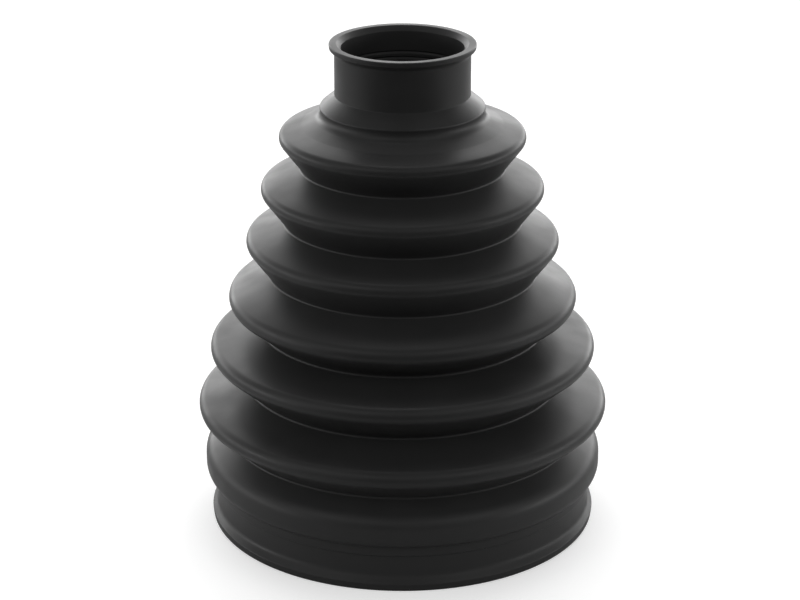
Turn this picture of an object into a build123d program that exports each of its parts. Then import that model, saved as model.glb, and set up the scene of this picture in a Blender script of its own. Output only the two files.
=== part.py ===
from build123d import *
import os
from math import atan2, cos, degrees, hypot, radians, sin, sqrt, tan

# Bellows boot, moulded in one piece of rubber. It stands on the face of its large end, with
# its axis along Z and the small end up. Lengths are in millimetres, angles in degrees, and
# every radius is measured from the axis.

# Collar at the small end, where the small clamp band lies
collar_bore_radius = 12.95
collar_bore_depth = 12.65    # from the mouth down to where the bore widens into the neck
collar_wall = 1.45
collar_height = 7.75         # plain outside wall between the mouth's flare and the bead
rim_step = 1.15              # how far the mouth's rim stands out from the collar
rim_height = 1.35            # outer wall of that rim
rim_round = 0.35
flare_height = 1.45          # cone that leads from the collar out to the rim
mouth_chamfer = 1.0          # bevel inside the mouth
mouth_round = 0.35

# Bead under the collar, and the narrow groove under the bead
bead_step = 3.15             # how far the bead stands out from the collar
bead_slope_height = 2.8
bead_side_height = 0.35
bead_round = 0.8
neck_groove_height = 1.2
neck_groove_depth = 0.45

# Cone from the groove down to the first crest
neck_height = 5.35           # from the groove's foot to the middle of that crest
neck_step_radius = 20.6      # where the cone turns a little steeper
neck_step_rise = 0.25        # how far that turn stands above a straight cone
neck_step_round = 2.5

# Folds, named from the small end to the large end
crest_radii = (26.3, 30.25, 33.6, 37.6, 41.8, 44.65)
crest_pitches = (11.55, 11.6, 12.7, 11.45, 13.05)
root_radii = (21.7, 25.4, 28.8, 30.3, 33.7, 38.1)
underside_heights = (6.65, 7.0, 7.0, 6.9, 7.9, 6.35)
crest_rounds = (1.6, 1.7, 1.85, 2.2, 2.1, 2.2)
root_round = 0.5             # the roots are creases, with nearly no round
fold_wall = 1.25

# Shoulder between the last fold and the large end
shoulder_height = 9.5        # from the shoulder's lower edge up to the last root
shoulder_angle = 32.0        # slope of its upper side below level
shoulder_step = 2.45         # how far the shoulder bulges out from the clamp seat
shoulder_round = 3.85
shoulder_turn_height = 1.2   # height of the widest place over the lower edge
shoulder_turn_round = 2.6

# Large end, which the large clamp band holds on the joint's housing
base_bore_radius = 39.0
base_bore_height = 10.4
base_wall = 2.0
lip_step = 1.3               # how far the lip stands out from the clamp seat
lip_height = 1.7             # up to the lip's widest edge
lip_edge_round = 0.35
lip_draw = 0.2               # how far the lip's foot draws in
lip_round = 0.6
cove_height = 1.5            # slope from the lip's edge up to the seat
cove_round = 2.0
seat_height = 4.7
guide_step = 0.55            # narrow band over the clamp seat
guide_height = 2.5
undercut_step = 0.95         # step from that band out to the shoulder's lower edge
edge_round = 0.25
least_flat = 0.05            # left between two rounds that share a short side
base_chamfer = 0.8           # bevel that guides the boot on to the housing

# Sealing grooves in the two bores
groove_depth = 0.3
groove_height = 0.7
groove_pitch = 1.3
collar_grooves = 3
collar_groove_drop = 7.6     # from the mouth down to the lowest groove
base_grooves = 3
base_groove_rise = 3.7       # from the foot up to the lowest groove

# Heights, from the foot of the large end upwards
seat_foot = lip_height + cove_height
guide_foot = seat_foot + seat_height
shoulder_foot = guide_foot + guide_height
last_root_level = shoulder_foot + shoulder_height
crest_levels = [last_root_level + underside_heights[-1]]
for pitch in reversed(crest_pitches):
    crest_levels.insert(0, crest_levels[0] + pitch)
root_levels = [level - drop for level, drop in zip(crest_levels, underside_heights)]
groove_foot = crest_levels[0] + neck_height
bead_foot = groove_foot + neck_groove_height
bead_slope_foot = bead_foot + bead_side_height
collar_foot = bead_slope_foot + bead_slope_height
flare_foot = collar_foot + collar_height
rim_foot = flare_foot + flare_height
mouth_level = rim_foot + rim_height

# Radii of the two ends
collar_radius = collar_bore_radius + collar_wall
rim_radius = collar_radius + rim_step
bead_radius = collar_radius + bead_step
groove_radius = bead_radius - neck_groove_depth
seat_radius = base_bore_radius + base_wall
lip_radius = seat_radius + lip_step
guide_radius = seat_radius + guide_step
undercut_radius = guide_radius + undercut_step
shoulder_radius = seat_radius + shoulder_step


def tangent_line(foot, centre, radius):
    """Angle of the line that rises from a foot and touches the outer side of a round."""
    reach = hypot(centre[0] - foot[0], centre[1] - foot[1])
    middle = atan2(centre[1] - foot[1], centre[0] - foot[0])
    return middle - atan2(radius, sqrt(reach ** 2 - radius ** 2))


def crest_corner(centre, crest_round, slope, underside):
    """Sharp corner that a crest's round is cut from: its flank and its underside meet there."""
    flank_normal = radians(90 - slope)
    underside_normal = underside - radians(90)
    middle = (flank_normal + underside_normal) / 2
    reach = crest_round / cos((flank_normal - underside_normal) / 2)
    return centre[0] + reach * cos(middle), centre[1] + reach * sin(middle)


def fold_corners(number, above):
    """Corners of one fold, from the root or the groove over it down to its crest.

    Each corner is a radius, a level and the size of its round. The flank runs straight from the
    point above to the crest's round, but the neck's has one slight turn.
    """
    crest_round = crest_rounds[number]
    centre = (crest_radii[number] - crest_round, crest_levels[number])
    underside = tangent_line((root_radii[number], root_levels[number]), centre, crest_round)
    reach = hypot(above[0] - centre[0], above[1] - centre[1])
    fall = atan2(above[1] - centre[1], centre[0] - above[0])
    slope = degrees(fall - atan2(crest_round, sqrt(reach ** 2 - crest_round ** 2)))
    corner = crest_corner(centre, crest_round, slope, underside)
    if number > 0:
        return [(*above, root_round), (*corner, crest_round)]
    along = (neck_step_radius - above[0]) / (corner[0] - above[0])
    step_level = above[1] + along * (corner[1] - above[1]) + neck_step_rise
    neck_step = (neck_step_radius, step_level, neck_step_round)
    return [(*above, edge_round), neck_step, (*corner, crest_round)]


def wall_inside(corners, thickness):
    """The same outline at a wall's thickness towards the axis, with rounds about one centre."""
    inside = []
    for before, corner, after in zip(corners, corners[1:], corners[2:]):
        down = Vector(corner[0] - before[0], corner[1] - before[1]).normalized()
        onward = Vector(after[0] - corner[0], after[1] - corner[1]).normalized()
        normals = Vector(down.Y, -down.X) + Vector(onward.Y, -onward.X)
        shift = normals * (2 * thickness / normals.length ** 2)
        turn = down.X * onward.Y - down.Y * onward.X
        bend = corner[2] - thickness if turn < 0 else corner[2] + thickness
        inside.append((corner[0] + shift.X, corner[1] + shift.Y, max(bend, edge_round)))
    return inside


def bore_grooves(bore_radius, foot, count):
    """Sealing grooves of one bore, from the bottom up."""
    corners = []
    for number in range(count):
        level = foot + number * groove_pitch
        corners += [
            (bore_radius, level, 0),
            (bore_radius + groove_depth, level + groove_height / 2, 0),
            (bore_radius, level + groove_height, 0),
        ]
    return corners


def fitted_rounds(corners):
    """Rounds of a closed outline, made smaller where a side is too short for its two rounds."""
    count = len(corners)
    sides = []
    cuts = []      # how much of its two sides each round takes
    for index, corner in enumerate(corners):
        before = corners[index - 1]
        after = corners[(index + 1) % count]
        arriving = Vector(corner[0] - before[0], corner[1] - before[1])
        leaving = Vector(after[0] - corner[0], after[1] - corner[1])
        sides.append(leaving.length)
        cuts.append(corner[2] * tan(radians(arriving.get_angle(leaving)) / 2))
    shares = []
    for index, side in enumerate(sides):
        room = side - least_flat
        shares.append(room / max(cuts[index] + cuts[(index + 1) % count], room))
    return [corner[2] * min(shares[index - 1], shares[index]) for index, corner in enumerate(corners)]


# Outside of the folds and the shoulder, from the neck's groove down
outside = []
above = (groove_radius, groove_foot)
for number, root in enumerate(zip(root_radii, root_levels)):
    outside += fold_corners(number, above)
    above = root
outside.append((*above, root_round))
shoulder_fall = (shoulder_radius - root_radii[-1]) * tan(radians(shoulder_angle))
outside.append((shoulder_radius, last_root_level - shoulder_fall, shoulder_round))
outside.append((shoulder_radius, shoulder_foot + shoulder_turn_height, shoulder_turn_round))

bead = (bead_radius, bead_foot, 0)
undercut = (undercut_radius, shoulder_foot, edge_round)
inside = wall_inside([bead, *outside, undercut], fold_wall)

collar_outside = [
    (collar_bore_radius + mouth_chamfer, mouth_level, mouth_round),
    (rim_radius, mouth_level, rim_round),
    (rim_radius, rim_foot, rim_round),
    (collar_radius, flare_foot, rim_round),
    (collar_radius, collar_foot, edge_round),
    (bead_radius, bead_slope_foot, bead_round),
    (bead_radius, bead_foot, edge_round),
]
base_outside = [
    undercut,
    (guide_radius, shoulder_foot, 0),
    (guide_radius, guide_foot, edge_round),
    (seat_radius, guide_foot, 0),
    (seat_radius, seat_foot, cove_round),
    (lip_radius, lip_height, lip_edge_round),
    (lip_radius - lip_draw, 0, lip_round),
]
base_inside = [
    (base_bore_radius + base_chamfer, 0, edge_round),
    (base_bore_radius, base_chamfer, edge_round),
    *bore_grooves(base_bore_radius, base_groove_rise, base_grooves),
    (base_bore_radius, base_bore_height, edge_round),
]
collar_inside = [
    (collar_bore_radius, mouth_level - collar_bore_depth, edge_round),
    *bore_grooves(collar_bore_radius, mouth_level - collar_groove_drop, collar_grooves),
    (collar_bore_radius, mouth_level - mouth_chamfer, mouth_round),
]

corners = [*collar_outside, *outside, *base_outside, *base_inside, *reversed(inside), *collar_inside]
points = [(radius, 0, level) for radius, level, _ in corners]
outline = FilletPolyline(*points, radius=fitted_rounds(corners), close=True)
section = make_face(outline)
boot = revolve(section, Axis.Z, 360)

os.makedirs("parts", exist_ok=True)
export_step(boot, "parts/boot.step")
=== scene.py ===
from math import atan2, ceil, cos, degrees, hypot, radians, sin, sqrt, tan

import bmesh
import bpy
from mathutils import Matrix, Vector


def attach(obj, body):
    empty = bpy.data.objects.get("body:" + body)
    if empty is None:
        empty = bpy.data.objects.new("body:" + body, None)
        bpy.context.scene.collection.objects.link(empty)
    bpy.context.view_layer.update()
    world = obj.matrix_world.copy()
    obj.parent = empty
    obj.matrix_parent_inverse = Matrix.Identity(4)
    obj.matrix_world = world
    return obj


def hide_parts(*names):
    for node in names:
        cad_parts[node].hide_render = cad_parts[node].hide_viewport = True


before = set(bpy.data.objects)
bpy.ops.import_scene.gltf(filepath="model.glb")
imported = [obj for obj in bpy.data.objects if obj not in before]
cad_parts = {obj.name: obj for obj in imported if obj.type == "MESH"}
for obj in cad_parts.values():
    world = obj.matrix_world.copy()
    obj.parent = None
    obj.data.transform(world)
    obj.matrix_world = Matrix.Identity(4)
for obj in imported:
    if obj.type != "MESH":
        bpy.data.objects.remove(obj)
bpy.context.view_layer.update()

# One moulded rubber boot. Its sizes are in millimetres and its angles in degrees. Radii count from
# the axis and heights from the foot of the large end, where the frame has its origin.
mm = 0.001


def linearColour(hexText):
    channels = [int(hexText[at:at + 2], 16) / 255 for at in (1, 3, 5)]
    return (*[c / 12.92 if c <= 0.04045 else ((c + 0.055) / 1.055) ** 2.4 for c in channels], 1)


def addNode(tree, kind, settings=None, links=None):
    # settings are the node's own properties or its sockets' values, links join sockets to it
    node = tree.nodes.new(kind)
    for name, value in (settings or {}).items():
        if isinstance(name, str) and hasattr(node, name):
            setattr(node, name, value)
        else:
            node.inputs[name].default_value = value
    for name, source in (links or {}).items():
        tree.links.new(source, node.inputs[name])
    return node


# The boot's outline

boot = {
    # collar at the small end
    "collarBore": 12.95, "collarBoreDepth": 12.65, "collarWall": 1.45, "collarHeight": 9.05,
    "rimStep": 1.15, "rimHeight": 1.0, "rimRound": 0.25, "rimDraw": 0.1, "rimSideRound": 0.4,
    "flareHeight": 1.0, "flareRound": 1.4,   # hollow slope under the rim
    "mouthChamfer": 1.0, "mouthRound": 0.35,
    # bead, the groove under it and the neck
    "beadStep": 3.15, "beadSlope": 2.6, "beadSide": 0.35, "beadRound": 0.8,
    "grooveHeight": 1.75, "grooveDepth": 0.45,
    "neckRound": 3.2,                        # hollow between the groove and the neck
    "neckHeight": 4.5, "neckStepRadius": 21.45, "neckStepRise": -0.3, "neckStepRound": 4.0,
    # folds, from the small end down
    "crestRadii": (26.3, 30.25, 33.6, 37.6, 41.8, 44.65),
    "crestPitches": (11.55, 11.6, 12.7, 11.45, 13.05),
    "rootRadii": (21.7, 25.4, 28.8, 30.3, 33.7, 38.1),
    "undersideHeights": (6.65, 7.0, 7.0, 6.9, 7.9, 6.35),
    "crestRounds": (1.6, 1.7, 1.85, 2.2, 2.1, 2.2),
    "rootRound": 0.4, "foldWall": 1.25,
    # shoulder, steps, band seat and lip at the large end
    "shoulderHeight": 9.5, "shoulderAngle": 32, "shoulderStep": 2.45,
    "shoulderRound": 3.85, "shoulderTurn": 1.2, "shoulderTurnRound": 2.6,
    "baseBore": 39.0, "baseBoreHeight": 10.4, "baseWall": 2.0, "baseChamfer": 0.8,
    "lipStep": 1.3, "lipHeight": 1.7, "lipEdgeRound": 0.35, "lipDraw": 0.2, "lipRound": 0.6,
    "coveHeight": 1.5, "coveRound": 2.0,     # slope from the lip up to the seat
    "seatHeight": 4.7, "guideStep": 0.55, "guideHeight": 2.5, "undercutStep": 0.95,
    # grooves in the two bores
    "sealDepth": 0.3, "sealHeight": 0.7, "sealPitch": 1.3, "sealCount": 3,
    "collarSealDrop": 8.6, "baseSealRise": 3.7,
    # small edges and how finely the mesh is drawn
    "edgeRound": 0.25, "creaseRound": 0.08,
    "leastFlat": 0.04,        # flat left between two rounds
    "turns": 160,             # steps round the axis
    "arcStep": 12,            # angle of a round between two points of the outline
    "arcChord": 0.5,          # or this length, whichever gives more points
    "leastArcSteps": 2,
    "flatRun": 2.8,           # longest straight step of the outline
    "mergeGap": 0.0005,       # points nearer than this are one
    "sharpAngle": 28,         # a crease past this angle is shaded as an edge
}


def outlineHeights(size):
    # every level that the outline uses, added up from the foot
    levels = {"seatFoot": size["lipHeight"] + size["coveHeight"]}
    levels["guideFoot"] = levels["seatFoot"] + size["seatHeight"]
    levels["shoulderFoot"] = levels["guideFoot"] + size["guideHeight"]
    lastRoot = levels["shoulderFoot"] + size["shoulderHeight"]
    crests = [lastRoot + size["undersideHeights"][-1]]
    for pitch in reversed(size["crestPitches"]):
        crests.insert(0, crests[0] + pitch)
    levels["crests"] = crests
    levels["roots"] = [level - drop for level, drop in zip(crests, size["undersideHeights"])]
    levels["grooveFoot"] = crests[0] + size["neckHeight"]
    levels["beadFoot"] = levels["grooveFoot"] + size["grooveHeight"]
    levels["beadTop"] = levels["beadFoot"] + size["beadSide"]
    levels["collarFoot"] = levels["beadTop"] + size["beadSlope"]
    levels["flareFoot"] = levels["collarFoot"] + size["collarHeight"]
    levels["rimFoot"] = levels["flareFoot"] + size["flareHeight"]
    levels["mouth"] = levels["rimFoot"] + size["rimHeight"]
    return levels


def tangentAngle(foot, centre, radius):
    # of the line that rises from a foot and touches the outer side of a round
    reach = hypot(centre[0] - foot[0], centre[1] - foot[1])
    middle = atan2(centre[1] - foot[1], centre[0] - foot[0])
    return middle - atan2(radius, sqrt(reach ** 2 - radius ** 2))


def crestCorner(centre, radius, slope, underside):
    # where a crest's flank and its underside would meet if the crest were sharp
    flankNormal = radians(90 - slope)
    undersideNormal = underside - radians(90)
    middle = (flankNormal + undersideNormal) / 2
    reach = radius / cos((flankNormal - undersideNormal) / 2)
    return centre[0] + reach * cos(middle), centre[1] + reach * sin(middle)


def foldCorners(size, levels, fold, above):
    # one fold, from the root or the groove above it down to its crest
    crestRound = size["crestRounds"][fold]
    centre = (size["crestRadii"][fold] - crestRound, levels["crests"][fold])
    foot = (size["rootRadii"][fold], levels["roots"][fold])
    underside = tangentAngle(foot, centre, crestRound)
    reach = hypot(above[0] - centre[0], above[1] - centre[1])
    fall = atan2(above[1] - centre[1], centre[0] - above[0])
    slope = degrees(fall - atan2(crestRound, sqrt(reach ** 2 - crestRound ** 2)))
    corner = crestCorner(centre, crestRound, slope, underside)
    if fold > 0:
        return [(*above, size["rootRound"]), (*corner, crestRound)]
    along = (size["neckStepRadius"] - above[0]) / (corner[0] - above[0])
    stepLevel = above[1] + along * (corner[1] - above[1]) + size["neckStepRise"]
    neckStep = (size["neckStepRadius"], stepLevel, size["neckStepRound"])
    return [(*above, size["neckRound"]), neckStep, (*corner, crestRound)]


def wallInside(size, corners):
    # the same outline one wall further in, with its rounds about the same centres
    inside = []
    for before, corner, after in zip(corners, corners[1:], corners[2:]):
        down = Vector((corner[0] - before[0], corner[1] - before[1])).normalized()
        onward = Vector((after[0] - corner[0], after[1] - corner[1])).normalized()
        normals = Vector((down.y, -down.x)) + Vector((onward.y, -onward.x))
        shift = normals * (2 * size["foldWall"] / normals.length_squared)
        turn = down.x * onward.y - down.y * onward.x
        bend = corner[2] + (size["foldWall"] if turn > 0 else -size["foldWall"])
        inside.append((corner[0] + shift.x, corner[1] + shift.y, max(bend, size["edgeRound"])))
    return inside


def sealGrooves(size, bore, foot):
    corners = []
    for groove in range(size["sealCount"]):
        level = foot + groove * size["sealPitch"]
        corners += [
            (bore, level, size["creaseRound"]),
            (bore + size["sealDepth"], level + size["sealHeight"] / 2, size["creaseRound"]),
            (bore, level + size["sealHeight"], size["creaseRound"]),
        ]
    return corners


def outlineCorners(size):
    # closed outline of the wall: down the outside, in under the foot and up the inside
    levels = outlineHeights(size)
    collar = size["collarBore"] + size["collarWall"]
    rim = collar + size["rimStep"]
    bead = collar + size["beadStep"]
    groove = bead - size["grooveDepth"]
    seat = size["baseBore"] + size["baseWall"]
    guide = seat + size["guideStep"]
    undercut = (guide + size["undercutStep"], levels["shoulderFoot"], size["edgeRound"])
    edge = size["edgeRound"]
    crease = size["creaseRound"]

    folds = []
    above = (groove, levels["grooveFoot"])
    for fold, root in enumerate(zip(size["rootRadii"], levels["roots"])):
        folds += foldCorners(size, levels, fold, above)
        above = root
    shoulder = seat + size["shoulderStep"]
    fall = (shoulder - above[0]) * tan(radians(size["shoulderAngle"]))
    shoulderCorners = [
        (*above, size["rootRound"]),
        (shoulder, above[1] - fall, size["shoulderRound"]),
        (shoulder, levels["shoulderFoot"] + size["shoulderTurn"], size["shoulderTurnRound"]),
    ]
    inside = wallInside(size, [(bead, levels["beadFoot"]), *folds, *shoulderCorners, undercut])
    collarSide = [
        (size["collarBore"] + size["mouthChamfer"], levels["mouth"], size["mouthRound"]),
        (rim, levels["mouth"], size["rimRound"]),
        (rim - size["rimDraw"], levels["rimFoot"], size["rimSideRound"]),
        (collar, levels["flareFoot"], size["flareRound"]),
        (collar, levels["collarFoot"], edge),
        (bead, levels["beadTop"], size["beadRound"]),
        (bead, levels["beadFoot"], edge),
    ]
    baseSide = [
        undercut,
        (guide, levels["shoulderFoot"], crease),
        (guide, levels["guideFoot"], edge),
        (seat, levels["guideFoot"], crease),
        (seat, levels["seatFoot"], size["coveRound"]),
        (seat + size["lipStep"], size["lipHeight"], size["lipEdgeRound"]),
        (seat + size["lipStep"] - size["lipDraw"], 0, size["lipRound"]),
        (size["baseBore"] + size["baseChamfer"], 0, edge),
        (size["baseBore"], size["baseChamfer"], edge),
        *sealGrooves(size, size["baseBore"], size["baseSealRise"]),
        (size["baseBore"], size["baseBoreHeight"], edge),
    ]
    collarInside = [
        (size["collarBore"], levels["mouth"] - size["collarBoreDepth"], edge),
        *sealGrooves(size, size["collarBore"], levels["mouth"] - size["collarSealDrop"]),
        (size["collarBore"], levels["mouth"] - size["mouthChamfer"], size["mouthRound"]),
    ]
    return [*collarSide, *folds, *shoulderCorners, *baseSide, *reversed(inside), *collarInside]


def fittedRounds(size, corners):
    # rounds made smaller where a side is too short for the two at its ends
    count = len(corners)
    sides, cuts = [], []
    for at, corner in enumerate(corners):
        before, after = corners[at - 1], corners[(at + 1) % count]
        arriving = Vector((corner[0] - before[0], corner[1] - before[1]))
        leaving = Vector((after[0] - corner[0], after[1] - corner[1]))
        sides.append(leaving.length)
        cuts.append(corner[2] * tan(arriving.angle(leaving) / 2))
    shares = []
    for at, side in enumerate(sides):
        room = side - size["leastFlat"]
        shares.append(room / max(cuts[at] + cuts[(at + 1) % count], room))
    return [corner[2] * min(shares[at - 1], shares[at]) for at, corner in enumerate(corners)]


def drawOutline(size, bm):
    # every corner is one point spun into an arc, and straight edges join the arcs
    corners = outlineCorners(size)
    rounds = fittedRounds(size, corners)
    ends = []
    for at, corner in enumerate(corners):
        nextCorner = corners[(at + 1) % len(corners)]
        here = Vector((corner[0], 0, corner[1])) * mm
        before = Vector((corners[at - 1][0], 0, corners[at - 1][1])) * mm
        after = Vector((nextCorner[0], 0, nextCorner[1])) * mm
        arriving, leaving = (here - before).normalized(), (after - here).normalized()
        turn = arriving.angle(leaving)
        axis = arriving.cross(leaving).normalized()
        radius = rounds[at] * mm
        start = bm.verts.new(here - arriving * radius * tan(turn / 2))
        centre = start.co + axis.cross(arriving) * radius
        steps = max(size["leastArcSteps"], ceil(degrees(turn) / size["arcStep"]),
                    ceil(turn * rounds[at] / size["arcChord"]))
        spun = bmesh.ops.spin(bm, geom=[start], cent=centre, axis=axis, angle=turn, steps=steps,
                              use_merge=False, use_duplicate=False)
        ends.append((start, spun["geom_last"][0]))
    straights = [bm.edges.new((ends[at - 1][1], ends[at][0])) for at in range(len(ends))]
    for edge in straights:
        cuts = ceil(edge.calc_length() / (size["flatRun"] * mm)) - 1
        if cuts > 0:
            bmesh.ops.subdivide_edges(bm, edges=[edge], cuts=cuts)


def buildBoot(size):
    bm = bmesh.new()
    drawOutline(size, bm)
    bmesh.ops.spin(bm, geom=[*bm.verts, *bm.edges], cent=(0, 0, 0), axis=(0, 0, 1),
                   angle=radians(360), steps=size["turns"], use_merge=True, use_duplicate=False)
    bmesh.ops.remove_doubles(bm, verts=bm.verts, dist=size["mergeGap"] * mm)
    bmesh.ops.recalc_face_normals(bm, faces=bm.faces)
    for face in bm.faces:
        face.smooth = True
    for edge in bm.edges:
        edge.smooth = edge.calc_face_angle(0) < radians(size["sharpAngle"])
    mesh = bpy.data.meshes.new("rubberBoot")
    bm.to_mesh(mesh)
    bm.free()
    piece = bpy.data.objects.new("rubberBoot", mesh)
    bpy.context.scene.collection.objects.link(piece)
    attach(piece, "root")
    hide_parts("boot")
    return piece


# Its material

rubber = {
    "colour": "#262626",         # rubber filled with carbon black
    "paleColour": "#2a2a2a",     # the same where it is a little greyer
    "ior": 1.5,
    "specularLevel": 0.16,       # dull against glass, since the soot-filled skin is fine-pored
    "roughness": (0.35, 0.48),   # satin, from a fine blasted mould
    "cloudWidth": 9.0,           # slow changes of gloss where the rubber flowed
    "cloudDetail": 4.0,
    "cloudRange": (0.3, 0.7),    # of the noise, over which the gloss changes
    "grainWidth": 0.35,          # blasting grain, drawn coarser than the real 0.1 mm so that it shows
    "grainDetail": 2.0,
    "grainHeight": 0.006,
}


def mouldedThermoplasticElastomer(look):
    # Near-black, satin and fine-grained: it came out of a blasted steel mould
    material = bpy.data.materials.new("mouldedThermoplasticElastomer")
    material.use_nodes = True
    tree = material.node_tree
    tree.nodes.clear()
    place = addNode(tree, "ShaderNodeTexCoord").outputs["Object"]
    grain = addNode(tree, "ShaderNodeTexNoise",
                    {"Scale": 1 / (look["grainWidth"] * mm), "Detail": look["grainDetail"]},
                    {"Vector": place})
    clouds = addNode(tree, "ShaderNodeTexNoise",
                     {"Scale": 1 / (look["cloudWidth"] * mm), "Detail": look["cloudDetail"]},
                     {"Vector": place})
    gloss = addNode(tree, "ShaderNodeMapRange",
                    {"From Min": look["cloudRange"][0], "From Max": look["cloudRange"][1],
                     "To Min": look["roughness"][0], "To Max": look["roughness"][1]},
                    {"Value": clouds.outputs["Fac"]})
    tint = addNode(tree, "ShaderNodeMix",
                   {"data_type": "RGBA", 6: linearColour(look["colour"]),
                    7: linearColour(look["paleColour"])},
                   {0: clouds.outputs["Fac"]})
    relief = addNode(tree, "ShaderNodeBump", {"Strength": 1.0, "Distance": look["grainHeight"] * mm},
                     {"Height": grain.outputs["Fac"]})
    skin = addNode(tree, "ShaderNodeBsdfPrincipled",
                   {"IOR": look["ior"], "Specular IOR Level": look["specularLevel"]},
                   {"Base Color": tint.outputs[2], "Roughness": gloss.outputs["Result"],
                    "Normal": relief.outputs["Normal"]})
    addNode(tree, "ShaderNodeOutputMaterial", None, {"Surface": skin.outputs["BSDF"]})
    return material


# Floor, light and camera

studio = {
    # edges of the paper on the floor, in metres from the boot's axis
    "floorFront": -0.11,
    "floorBack": 1.2,
    "floorSide": 1.0,
    "floorColour": "#dcdcdc",
    "floorGlow": 0.45,           # added for the camera only, so that the paper shows white
    "white": "#ffffff",
    # glows of the tent round the boot, alike on its left and right: degrees round from the front,
    # degrees up, degrees that it spreads round and up, and its brightness, where 1 is white
    "glows": {
        "sideRim": (90, 4, 18, 5.5, 6.7),
        "rearRim": (150, 4, 18, 5.5, 7.2),
        "rearWall": (150, 17, 18, 7, 2.5),
        "frontCorner": (45, 34, 27, 9, 2.1),
        "backCorner": (180, 34, 27, 9, 5.3),
        "ceiling": (180, 78, 60, 10, 2.9),
    },
    "fill": 0.05,                # brightness of the rest of the tent
}


def makeFloor(size):
    bm = bmesh.new()
    bmesh.ops.create_grid(bm, x_segments=1, y_segments=1, size=size["floorSide"])
    for corner in bm.verts:
        corner.co.y = size["floorFront"] if corner.co.y < 0 else size["floorBack"]
    mesh = bpy.data.meshes.new("studioFloor")
    bm.to_mesh(mesh)
    bm.free()
    floor = bpy.data.objects.new("studioFloor", mesh)
    bpy.context.scene.collection.objects.link(floor)
    material = bpy.data.materials.new("matPaperFloor")
    material.use_nodes = True
    tree = material.node_tree
    tree.nodes.clear()
    paper = addNode(tree, "ShaderNodeBsdfDiffuse", {"Color": linearColour(size["floorColour"])})
    glow = addNode(tree, "ShaderNodeEmission",
                   {"Color": linearColour(size["white"]), "Strength": size["floorGlow"]})
    seen = addNode(tree, "ShaderNodeLightPath")
    both = addNode(tree, "ShaderNodeAddShader", None, {0: paper.outputs[0], 1: glow.outputs[0]})
    pick = addNode(tree, "ShaderNodeMixShader", None,
                   {0: seen.outputs["Is Camera Ray"], 1: paper.outputs[0], 2: both.outputs[0]})
    addNode(tree, "ShaderNodeOutputMaterial", None, {"Surface": pick.outputs[0]})
    mesh.materials.append(material)


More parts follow.
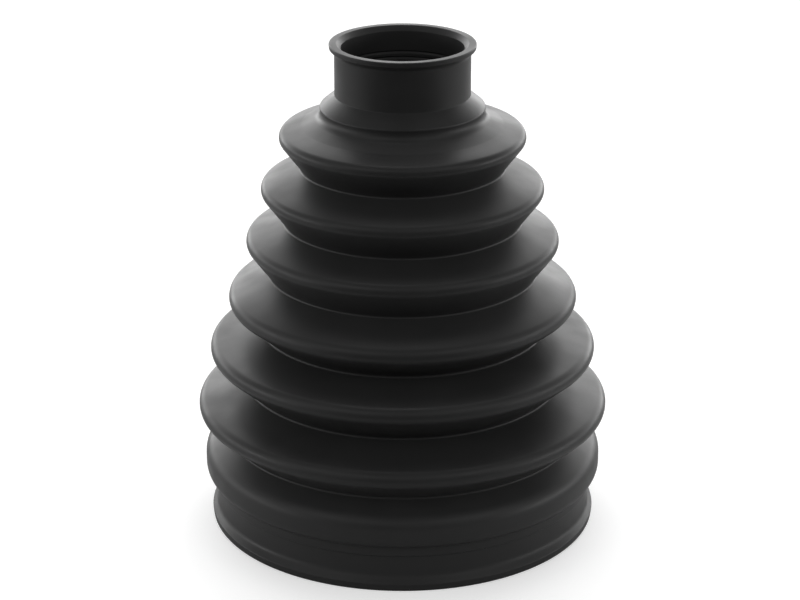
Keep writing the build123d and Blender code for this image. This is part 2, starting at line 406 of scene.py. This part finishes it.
def makeWorld(size):
    world = bpy.data.worlds.new("studioWorld")
    bpy.context.scene.world = world
    world.use_nodes = True
    tree = world.node_tree
    tree.nodes.clear()
    # the direction looked in, as radians round from the front (-Y) and radians up
    look = addNode(tree, "ShaderNodeTexCoord").outputs["Generated"]
    way = addNode(tree, "ShaderNodeSeparateXYZ", None, {0: look})
    across = addNode(tree, "ShaderNodeMath", {"operation": "ABSOLUTE"}, {0: way.outputs["X"]})
    ahead = addNode(tree, "ShaderNodeMath", {"operation": "MULTIPLY", 1: -1.0}, {0: way.outputs["Y"]})
    turned = addNode(tree, "ShaderNodeMath", {"operation": "ARCTAN2"},
                     {0: across.outputs[0], 1: ahead.outputs[0]})
    tilted = addNode(tree, "ShaderNodeMath", {"operation": "ARCSINE"}, {0: way.outputs["Z"]})
    aim = addNode(tree, "ShaderNodeCombineXYZ", None, {"X": turned.outputs[0], "Y": tilted.outputs[0]})
    total = addNode(tree, "ShaderNodeValue")
    total.outputs[0].default_value = size["fill"]
    for turn, tilt, turnSpread, tiltSpread, brightness in size["glows"].values():
        # each glow fades off its middle as a bell curve
        middle = (radians(turn), radians(tilt), 0)
        narrowing = (1 / radians(turnSpread), 1 / radians(tiltSpread), 0)
        away = addNode(tree, "ShaderNodeVectorMath", {"operation": "SUBTRACT", 1: middle},
                       {0: aim.outputs[0]})
        spreads = addNode(tree, "ShaderNodeVectorMath", {"operation": "MULTIPLY", 1: narrowing},
                          {0: away.outputs["Vector"]})
        square = addNode(tree, "ShaderNodeVectorMath", {"operation": "DOT_PRODUCT"},
                         {0: spreads.outputs["Vector"], 1: spreads.outputs["Vector"]})
        fade = addNode(tree, "ShaderNodeMath", {"operation": "MULTIPLY", 1: -0.5},
                       {0: square.outputs["Value"]})
        bell = addNode(tree, "ShaderNodeMath", {"operation": "EXPONENT"}, {0: fade.outputs[0]})
        total = addNode(tree, "ShaderNodeMath", {"operation": "MULTIPLY_ADD", 1: brightness},
                        {0: bell.outputs[0], 2: total.outputs[0]})
    tent = addNode(tree, "ShaderNodeBackground", {"Color": linearColour(size["white"])},
                   {"Strength": total.outputs[0]})
    plain = addNode(tree, "ShaderNodeBackground",
                    {"Color": linearColour(size["white"]), "Strength": 1.0})
    seen = addNode(tree, "ShaderNodeLightPath")
    pick = addNode(tree, "ShaderNodeMixShader", None,
                   {0: seen.outputs["Is Camera Ray"], 1: tent.outputs[0], 2: plain.outputs[0]})
    addNode(tree, "ShaderNodeOutputWorld", None, {"Surface": pick.outputs[0]})


lens = {
    "sensor": 36.0,
    "focal": 114.75,
    "near": 10.0,              # nearest and farthest that the camera sees
    "far": 20000.0,
    "elevation": 21.5,         # degrees above level
    "distance": 554.3,
    "aside": -0.55,            # how far the view's middle lies left of the axis
    "targetHeight": 49.01,
}


def makeCamera(view):
    camera = bpy.data.cameras.new("studioCamera")
    camera.sensor_width = view["sensor"]
    camera.lens = view["focal"]
    camera.clip_start = view["near"] * mm
    camera.clip_end = view["far"] * mm
    tripod = bpy.data.objects.new("studioCamera", camera)
    bpy.context.scene.collection.objects.link(tripod)
    tilt = radians(view["elevation"])
    back = view["distance"] * cos(tilt)
    rise = view["targetHeight"] + view["distance"] * sin(tilt)
    tripod.location = Vector((view["aside"], -back, rise)) * mm
    tripod.rotation_euler = (radians(90) - tilt, 0, 0)
    bpy.context.scene.camera = tripod


piece = buildBoot(boot)
piece.data.materials.append(mouldedThermoplasticElastomer(rubber))
print("boot made:", len(piece.data.vertices), "points,", len(piece.data.polygons), "faces")

makeFloor(studio)
makeWorld(studio)
makeCamera(lens)
bpy.context.scene.view_settings.view_transform = "Standard"
print("studio made")
